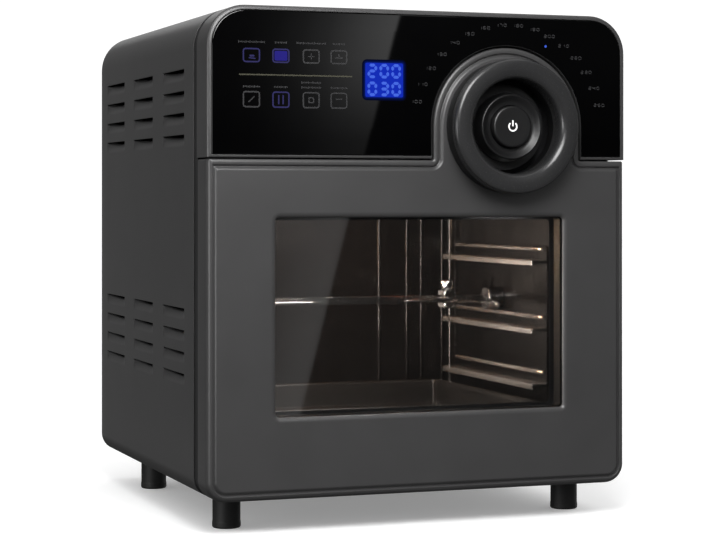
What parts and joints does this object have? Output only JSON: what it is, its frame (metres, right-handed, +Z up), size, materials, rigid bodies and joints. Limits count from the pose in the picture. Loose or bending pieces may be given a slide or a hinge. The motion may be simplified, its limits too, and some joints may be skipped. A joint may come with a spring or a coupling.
{
  "type": "air fryer oven",
  "caption": "Countertop air fryer oven with a drop-down glass door, a ring handle round its dial, a touch panel and a rotisserie.",
  "frame": {"origin": "on the ground, in the middle of the footprint's bounding box", "axes": "+Z up, +Y to the back, +X to the right seen from the front; the door faces -Y"},
  "size_m": [0.32, 0.346, 0.368],
  "materials": {
    "body_paint": "satin anthracite with a fine metallic grain",
    "handle_paint": "satin dark grey",
    "dark_sheet": "matt black sheet",
    "bright_steel": "bright brushed stainless steel",
    "spit_steel": "polished",
    "hinge_steel": "zinc plated",
    "fan_aluminium": "rolled",
    "motor_steel": "laminated steel can",
    "heater_sheath": "heat-darkened sheath",
    "control_glass": "black high gloss",
    "window_glass": "clear, faintly smoked",
    "lamp_glass": "clear",
    "gloss_black": "black gloss",
    "matt_black": "matt black",
    "rubber": "matt black rubber",
    "circuit_board": "green laminate",
    "display": "lit blue digits"
  },
  "bodies": {
    "oven": {"outer_cover": "body_paint", "control_housing": "body_paint", "rear_cover": "dark_sheet", "base_pan": "dark_sheet", "front_frame": "dark_sheet", "drip_tray": "dark_sheet", "oven_chamber": "bright_steel", "rack_rail_left": "bright_steel", "rack_rail_right": "bright_steel", "heat_dome": "bright_steel", "element_guard": "bright_steel", "motor_bracket": "bright_steel", "lamp_holder": "bright_steel", "spit_rest": "bright_steel", "hinge_bracket_left": "hinge_steel", "hinge_bracket_right": "hinge_steel", "hinge_pin_left": "hinge_steel", "hinge_pin_right": "hinge_steel", "rear_screw_low_left": "hinge_steel", "rear_screw_low_right": "hinge_steel", "rear_screw_high_left": "hinge_steel", "rear_screw_high_right": "hinge_steel", "fan_motor": "motor_steel", "rotisserie_motor": "motor_steel", "heating_element": "heater_sheath", "control_glass": "control_glass", "oven_lamp": "lamp_glass", "lamp_lens": "lamp_glass", "dial_housing": "matt_black", "dial_encoder": "matt_black", "door_switch": "matt_black", "foot_front_left": "rubber", "foot_front_right": "rubber", "foot_rear_left": "rubber", "foot_rear_right": "rubber", "door_seal": "rubber", "cord_inlet": "rubber", "control_board": "circuit_board", "power_board": "circuit_board", "display_module": "display"},
    "door": {"door_panel": "body_paint", "window_outer_pane": "window_glass", "window_spacer": "dark_sheet", "window_inner_pane": "window_glass", "door_liner": "bright_steel", "ring_handle": "handle_paint", "hinge_clevis_left": "hinge_steel", "hinge_clevis_right": "hinge_steel"},
    "dial": {"dial_knob": "gloss_black"},
    "button": {"power_button": "gloss_black"},
    "fans": {"motor_shaft": "motor_steel", "convection_fan": "fan_aluminium", "cooling_fan": "matt_black"},
    "spit": {"drive_socket": "spit_steel", "spit_rod": "spit_steel"},
    "left_fork": {"fork_left": "spit_steel", "fork_screw_left": "spit_steel"},
    "right_fork": {"fork_right": "spit_steel", "fork_screw_right": "spit_steel"},
    "plunger": {"switch_plunger": "hinge_steel"}
  },
  "joints": [
    {"name": "door_hinge", "type": "hinge", "parent": "oven", "child": "door", "pos_m": [0, -0.1405, 0.0305], "axis": [1, 0, 0], "range_deg": [0, 86]},
    {"name": "dial_turn", "type": "hinge", "parent": "oven", "child": "dial", "pos_m": [0.06525, -0.153, 0.2855], "axis": [0, -1, 0], "continuous": true},
    {"name": "button_press", "type": "slide", "parent": "oven", "child": "button", "axis": [0, 1, 0], "range_m": [0, 0.0015], "stiffness_N_per_m": 500, "springref_m": -0.0005},
    {"name": "fan_spin", "type": "hinge", "parent": "oven", "child": "fans", "pos_m": [0, -0.013, 0.2395], "axis": [0, 0, 1], "continuous": true},
    {"name": "spit_spin", "type": "hinge", "parent": "oven", "child": "spit", "pos_m": [0, -0.003, 0.154], "axis": [1, 0, 0], "continuous": true},
    {"name": "left_fork_slide", "type": "slide", "parent": "spit", "child": "left_fork", "axis": [1, 0, 0], "range_m": [-0.02, 0.03]},
    {"name": "right_fork_slide", "type": "slide", "parent": "spit", "child": "right_fork", "axis": [-1, 0, 0], "range_m": [-0.02, 0.03]},
    {"name": "plunger_slide", "type": "slide", "parent": "oven", "child": "plunger", "axis": [0, -1, 0], "range_m": [0, 0.003]}
  ],
  "couplings": [
    {"joint": "plunger_slide", "follows": "door_hinge", "m_per_rad": 0.0019}
  ]
}
